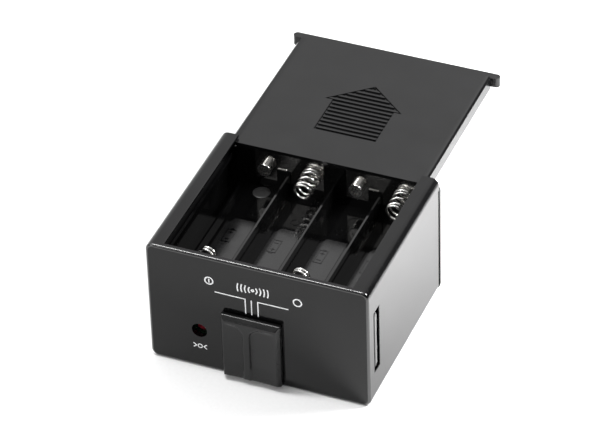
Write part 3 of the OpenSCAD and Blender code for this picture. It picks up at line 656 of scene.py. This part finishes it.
def ribbon(bm, points, width, y, depth, closed=False):
    """A flat printed stroke of even width in the X-Z plane, through points given in metres."""
    count = len(points)
    sharpest = 0.4
    left, right = [], []
    for i, (x, z) in enumerate(points):
        before = points[i - 1] if i or closed else points[i]
        after = points[(i + 1) % count] if i < count - 1 or closed else points[i]
        incoming = Vector((x - before[0], z - before[1]))
        outgoing = Vector((after[0] - x, after[1] - z))
        incoming = incoming.normalized() if incoming.length else outgoing.normalized()
        outgoing = outgoing.normalized() if outgoing.length else incoming
        along_line = (incoming + outgoing).normalized()
        across = Vector((-along_line.y, along_line.x))
        spread_by = width / 2 / max(sharpest, across.dot(Vector((-incoming.y, incoming.x))))
        left.append(Vector((x, z)) + across * spread_by)
        right.append(Vector((x, z)) - across * spread_by)
    layers = []
    for layer_y in (y, y - depth):
        layers.append([[bm.verts.new((p.x, layer_y, p.y)) for p in line] for line in (left, right)])
    (back_l, back_r), (front_l, front_r) = layers
    for i in range(count if closed else count - 1):
        j = (i + 1) % count
        bm.faces.new((front_l[i], front_l[j], front_r[j], front_r[i]))
        bm.faces.new((back_r[i], back_r[j], back_l[j], back_l[i]))
        bm.faces.new((front_l[j], front_l[i], back_l[i], back_l[j]))
        bm.faces.new((front_r[i], front_r[j], back_r[j], back_r[i]))
    if not closed:
        bm.faces.new((front_l[0], front_r[0], back_r[0], back_l[0]))
        bm.faces.new((front_r[-1], front_l[-1], back_l[-1], back_r[-1]))


def arc(cx, cz, r, start, end, count=18):
    """Points in mm along an arc, in degrees."""
    turns = [math.radians(start + (end - start) * i / count) for i in range(count + 1)]
    return [(cx + r * math.cos(a), cz + r * math.sin(a)) for a in turns]


def ring_stroke(cx, cz, r):
    """A closed ring of 20 points, as a stroke."""
    return arc(cx, cz, r, 0, 342, 19), True


def print_piece(name, strokes, width):
    """One printed mark from strokes given in mm as (points, closed)."""
    sunk = 0.002 * MM
    thick = 0.022 * MM
    bm = bmesh.new()
    for points, closed in strokes:
        in_metres = [(x * MM, z * MM) for x, z in points]
        ribbon(bm, in_metres, width * MM, FRONT_Y + sunk, thick, closed)
    bmesh.ops.recalc_face_normals(bm, faces=bm.faces)
    return on_housing(shown(bm, name, INK))


def make_print():
    """Generic marks: power on, signal waves, power off and a pairing sign, with their leader lines."""
    bold, thin, fine = 0.42, 0.36, 0.3
    power_r = 1.3

    on_x, on_z, bar_half = -15.4, 34.8, 0.75
    bar = ([(on_x, on_z - bar_half), (on_x, on_z + bar_half)], False)
    print_piece("mark_on", [ring_stroke(on_x, on_z, power_r), bar], bold)

    signal_x, signal_z, dot_r = -1.2, 34.9, 0.35
    waves = [ring_stroke(signal_x, signal_z, dot_r)]
    for r, half_angle in ((1.4, 50), (2.6, 32), (3.8, 23), (5.0, 18)):
        for middle in (0, 180):
            waves.append((arc(signal_x, signal_z, r, middle - half_angle, middle + half_angle), False))
    print_piece("mark_signal", waves, bold)

    off_x, off_z = 13.2, 34.2
    print_piece("mark_off", [ring_stroke(off_x, off_z, power_r)], bold)

    knob_z = 25.3
    leaders = {"leader_on": [(-13.7, 31.0), (-3.8, 30.9), (-3.75, knob_z)],
               "leader_signal": [(-1.8, 30.9), (-1.8, knob_z)],
               "leader_off": [(10.2, 30.8), (0.3, 30.8), (0.3, knob_z)]}
    for name, points in leaders.items():
        print_piece(name, [(points, False)], thin)

    learn_x, learn_z, learn_r = -19.4, 8.2, 0.7
    tail, tip, rise = 2.2, 1.2, 0.8
    pairing = []
    for side in (-1, 1):
        tail_x = learn_x + side * tail
        chevron = [(tail_x, learn_z - rise), (learn_x + side * tip, learn_z), (tail_x, learn_z + rise)]
        pairing.append((chevron, False))
    pairing.append(ring_stroke(learn_x, learn_z, learn_r))
    print_piece("mark_learn", pairing, fine)


# ---------------------------------------------------------------- moulded marks in the bays

def block(bm, x, y, length_y, width_x, z, height):
    """A raised bar on a floor, centred at x and y, a tenth sunk; x, y and z in metres, sizes in mm."""
    made = bmesh.ops.create_cube(bm, size=1.0)
    for v in made["verts"]:
        v.co.x = x + v.co.x * width_x * MM
        v.co.y = y + v.co.y * length_y * MM
        v.co.z = z + (v.co.z + 0.4) * height * MM


def cell_outline(x, plus_to_back):
    """Bars of a small cell pictogram with a plus and a minus, as (x, y, length along Y, width along X)."""
    y = 1.5 * MM
    sign = 1 if plus_to_back else -1
    line, long_side, short_side, button, arm = 0.28, 6.0, 2.9, 1.2, 1.4
    sign_y = sign * 1.6 * MM
    return [(x - 1.3 * MM, y, long_side, line), (x + 1.3 * MM, y, long_side, line),
            (x, y - 3.0 * MM, line, short_side), (x, y + 3.0 * MM, line, short_side),
            (x, y + sign * 3.45 * MM, line, button),
            (x, y + sign_y, arm, line), (x, y + sign_y, line, arm),
            (x, y - sign_y, line, arm)]


def make_bay_marks():
    """A raised outline of a cell with its polarity signs on each bay's floor."""
    offset_x = 2.1 * MM
    height = 0.12
    bm = bmesh.new()
    for i, x in enumerate(BAY_X):
        for px, py, length, wide in cell_outline(x - offset_x, plus_to_back=i % 2 == 0):
            block(bm, px, py, length, wide, BAY_FLOOR + height * MM, height)
    on_housing(shown(bm, "bay_marks", MATERIALS["tray_plastic"]))


def make_rings():
    """Small moulded rings and ejector marks further back on the bays' floors."""
    sides = 32
    rim, wall, lift, sunk = 0.06, 0.26, 0.16, -0.05
    places = ((0, 0.9, 15.2, 1.5), (1, -0.6, 14.6, 1.5), (1, 2.2, 17.6, 1.9), (2, -1.2, 15.0, 1.5),
              (2, 1.6, 20.6, 2.6), (3, 0.4, 15.4, 1.5), (1, 1.6, 12.9, 0.9), (2, 0.9, 16.9, 0.9))
    bm = bmesh.new()
    for bay, dx, y, radius in places:
        loops = []
        inner = radius - wall
        for r, z in ((radius, sunk), (radius - rim, lift), (inner, lift), (inner - rim, sunk)):
            loops.append([bm.verts.new((BAY_X[bay] + (dx + r * math.cos(2 * math.pi * k / sides)) * MM,
                                        (y + r * math.sin(2 * math.pi * k / sides)) * MM,
                                        BAY_FLOOR + z * MM)) for k in range(sides)])
        for one, other in zip(loops, loops[1:] + loops[:1]):
            for k in range(sides):
                j = (k + 1) % sides
                bm.faces.new((one[k], one[j], other[j], other[k]))
    bmesh.ops.recalc_face_normals(bm, faces=bm.faces)
    piece = shown(bm, "bay_rings", MATERIALS["tray_plastic"])
    finish_shading(piece, sharp_degrees=50)
    on_housing(piece)


def make_pads():
    """The raised pad at the front of each bay's floor, with one corner cut off."""
    outline = [(-5.0, -26.8), (3.4, -26.8), (3.4, 10.4), (-3.4, 10.4), (-5.0, 7.2)]
    centre_x, centre_y = -0.8, -9.0
    count = len(outline)
    bm = bmesh.new()
    for x in BAY_X:
        rings = []
        for inset, lift in ((0.0, -0.05), (0.0, 0.06), (0.12, 0.12)):
            rings.append([bm.verts.new((x + (px - math.copysign(inset, px - centre_x)) * MM,
                                        (py - math.copysign(inset, py - centre_y)) * MM,
                                        BAY_FLOOR + lift * MM)) for px, py in outline])
        for lower, upper in zip(rings, rings[1:]):
            for i in range(count):
                j = (i + 1) % count
                bm.faces.new((lower[i], lower[j], upper[j], upper[i]))
        bm.faces.new(rings[-1])
        bm.faces.new(rings[0][::-1])
    # The pads' plastic is a copy of the tray's with a lighter colour and more specular, so the pads read
    # brighter than the floor: painted sheen. The grain and roughness are the surface's own.
    material = moulded("pad_face_with_painted_sheen", (0.0045, 0.0045, 0.0047), 0.16, grain=0.1, specular=0.6)
    on_housing(shown(bm, "bay_pads", material))


def make_disc():
    """The ejector disc in the left bay: slightly domed, with a shallow groove and a turned-down rim."""
    rings, sides = 12, 48
    radius, lift, dome = 2.9, 0.28, 0.12
    groove_in, groove_out, groove = 0.9, 1.3, 0.05
    rim_drop = 0.2
    x0 = BAY_X[0] - 0.9 * MM
    y0 = 25.1 * MM
    bm = bmesh.new()
    centre = bm.verts.new((x0, y0, BAY_FLOOR + lift * MM))
    last = None
    for k in range(1, rings + 1):
        r = radius * k / rings
        z = lift - dome * (r / radius) ** 2
        if groove_in < r < groove_out:
            z -= groove
        if k == rings:
            z -= rim_drop
        ring = [bm.verts.new((x0 + r * MM * math.cos(2 * math.pi * j / sides),
                              y0 + r * MM * math.sin(2 * math.pi * j / sides), BAY_FLOOR + z * MM))
                for j in range(sides)]
        for j in range(sides):
            n = (j + 1) % sides
            if last is None:
                bm.faces.new((centre, ring[j], ring[n]))
            else:
                bm.faces.new((last[j], ring[j], ring[n], last[n]))
        last = ring
    bm.faces.new(last[::-1])
    material = moulded("ejector_face", (0.018, 0.018, 0.018), 0.45, grain=0.2)
    piece = shown(bm, "ejector_disc", material)
    finish_shading(piece, sharp_degrees=60)
    on_housing(piece)


# ---------------------------------------------------------------- stage

def make_floor():
    """White paper, just under the object."""
    size = 6.0
    corners = [(-size, -size, 0), (size, -size, 0), (size, size, 0), (-size, size, 0)]
    mesh = bpy.data.meshes.new("floor")
    mesh.from_pydata(corners, [], [(0, 1, 2, 3)])
    material, tree, shader = new_material("floor_paper")
    coords = object_coords(tree)
    fibre = noise(tree, coords, scale=900, detail=3)
    shade = blend_colours(tree, spread(tree, fibre, 0, 1), (0.90, 0.90, 0.90), (0.93, 0.93, 0.93))
    tree.links.new(shade, shader.inputs["Base Color"])
    shader.inputs["Roughness"].default_value = 0.8
    shader.inputs["Specular IOR Level"].default_value = 0.2
    floor = new_object("floor", mesh, material)
    floor.location.z = -0.02 * MM


def area_light(name, place, target, size, power, spread_degrees=180):
    """A rectangular light that shines from a place towards a target, unseen by the camera itself."""
    data = bpy.data.lights.new(name, "AREA")
    data.shape = "RECTANGLE"
    data.size, data.size_y = size
    data.energy = power
    data.spread = math.radians(spread_degrees)
    light = bpy.data.objects.new(name, data)
    light.location = place
    light.visible_camera = False
    light.rotation_mode = "QUATERNION"
    light.rotation_quaternion = (Vector(target) - Vector(place)).to_track_quat("-Z", "Y")
    bpy.context.scene.collection.objects.link(light)


def make_world():
    """A white surround, brighter towards the back and dark low on the right, which the gloss mirrors."""
    world = bpy.data.worlds.new("studio")
    world.use_nodes = True
    tree = world.node_tree
    background = tree.nodes["Background"]
    background.inputs["Color"].default_value = (1, 1, 1, 1)
    heading = add(tree, "ShaderNodeSeparateXYZ")
    tree.links.new(object_coords(tree, "Generated"), heading.inputs["Vector"])
    glow = spread(tree, heading.outputs["Y"], low=0.40, high=1.25, from_low=-0.8, from_high=0.8)
    tilt = add(tree, "ShaderNodeMath", operation="SUBTRACT")
    tree.links.new(heading.outputs["Z"], tilt.inputs[0])
    tree.links.new(heading.outputs["X"], tilt.inputs[1])
    unlit = spread(tree, tilt.outputs["Value"], low=0.14, high=1.0, from_low=0.05, from_high=0.45)
    both = add(tree, "ShaderNodeMath", operation="MULTIPLY")
    tree.links.new(glow, both.inputs[0])
    tree.links.new(unlit, both.inputs[1])
    tree.links.new(both.outputs["Value"], background.inputs["Strength"])
    bpy.context.scene.world = world


def make_light():
    """The surround, a small light low on the right, a fill from the left front and a strip overhead."""
    make_world()
    area_light("low_right", (0.15, 0.065, 0.15), (0.085, 0.065, 0.0), (0.07, 0.07), 0.52, spread_degrees=120)
    area_light("front_fill", (-0.45, -0.58, 0.38), (0, -0.03, 0), (0.30, 0.30), 1.3)
    area_light("overhead", (-0.28, -0.05, 0.86), (0, 0, 0), (0.09, 0.48), 5.0)


# ---------------------------------------------------------------- assembly

def bay_floor():
    """Height of the bays' floor: the highest of the CAD tray's low points, under its left half."""
    middle_x, reach_x, reach_z = -18 * MM, 20 * MM, 3 * MM
    return max(v.co.z for v in NODES["battery_tray"].data.vertices
               if abs(v.co.x - middle_x) < reach_x and v.co.z < tray_low.z + reach_z)


SPRING_X, SPRING_Z = spring_axis()
BAY_X = [SPRING_X[n] for n in SPRINGS]
BAY_FLOOR = bay_floor()

make_camera()
make_case()
make_back_cover()
make_battery_cover()
make_knob()
for index, spring in enumerate(SPRINGS):
    make_spring(spring, outward=1 if index % 2 == 0 else -1)
for contact in ("contact_back_left", "contact_back_right", "contact_front_negative", "contact_front_bridge",
                "contact_front_positive"):
    make_contact(contact)
make_plain("terminal_block", width=0.25, min_length=1.0)
make_clip("wall_clip_left", side=-1)
make_clip("wall_clip_right", side=1)
make_plain("learn_plunger", width=0.2, min_length=0.05)
make_plain("relay", width=0.3)
make_print()
make_bay_marks()
make_rings()
make_pads()
make_disc()
for name, node in NODES.items():
    node.data.materials.clear()
    node.data.materials.append(MATERIALS[SLOT_OF[name]])
make_floor()
make_light()
bpy.context.scene.view_settings.view_transform = "Standard"
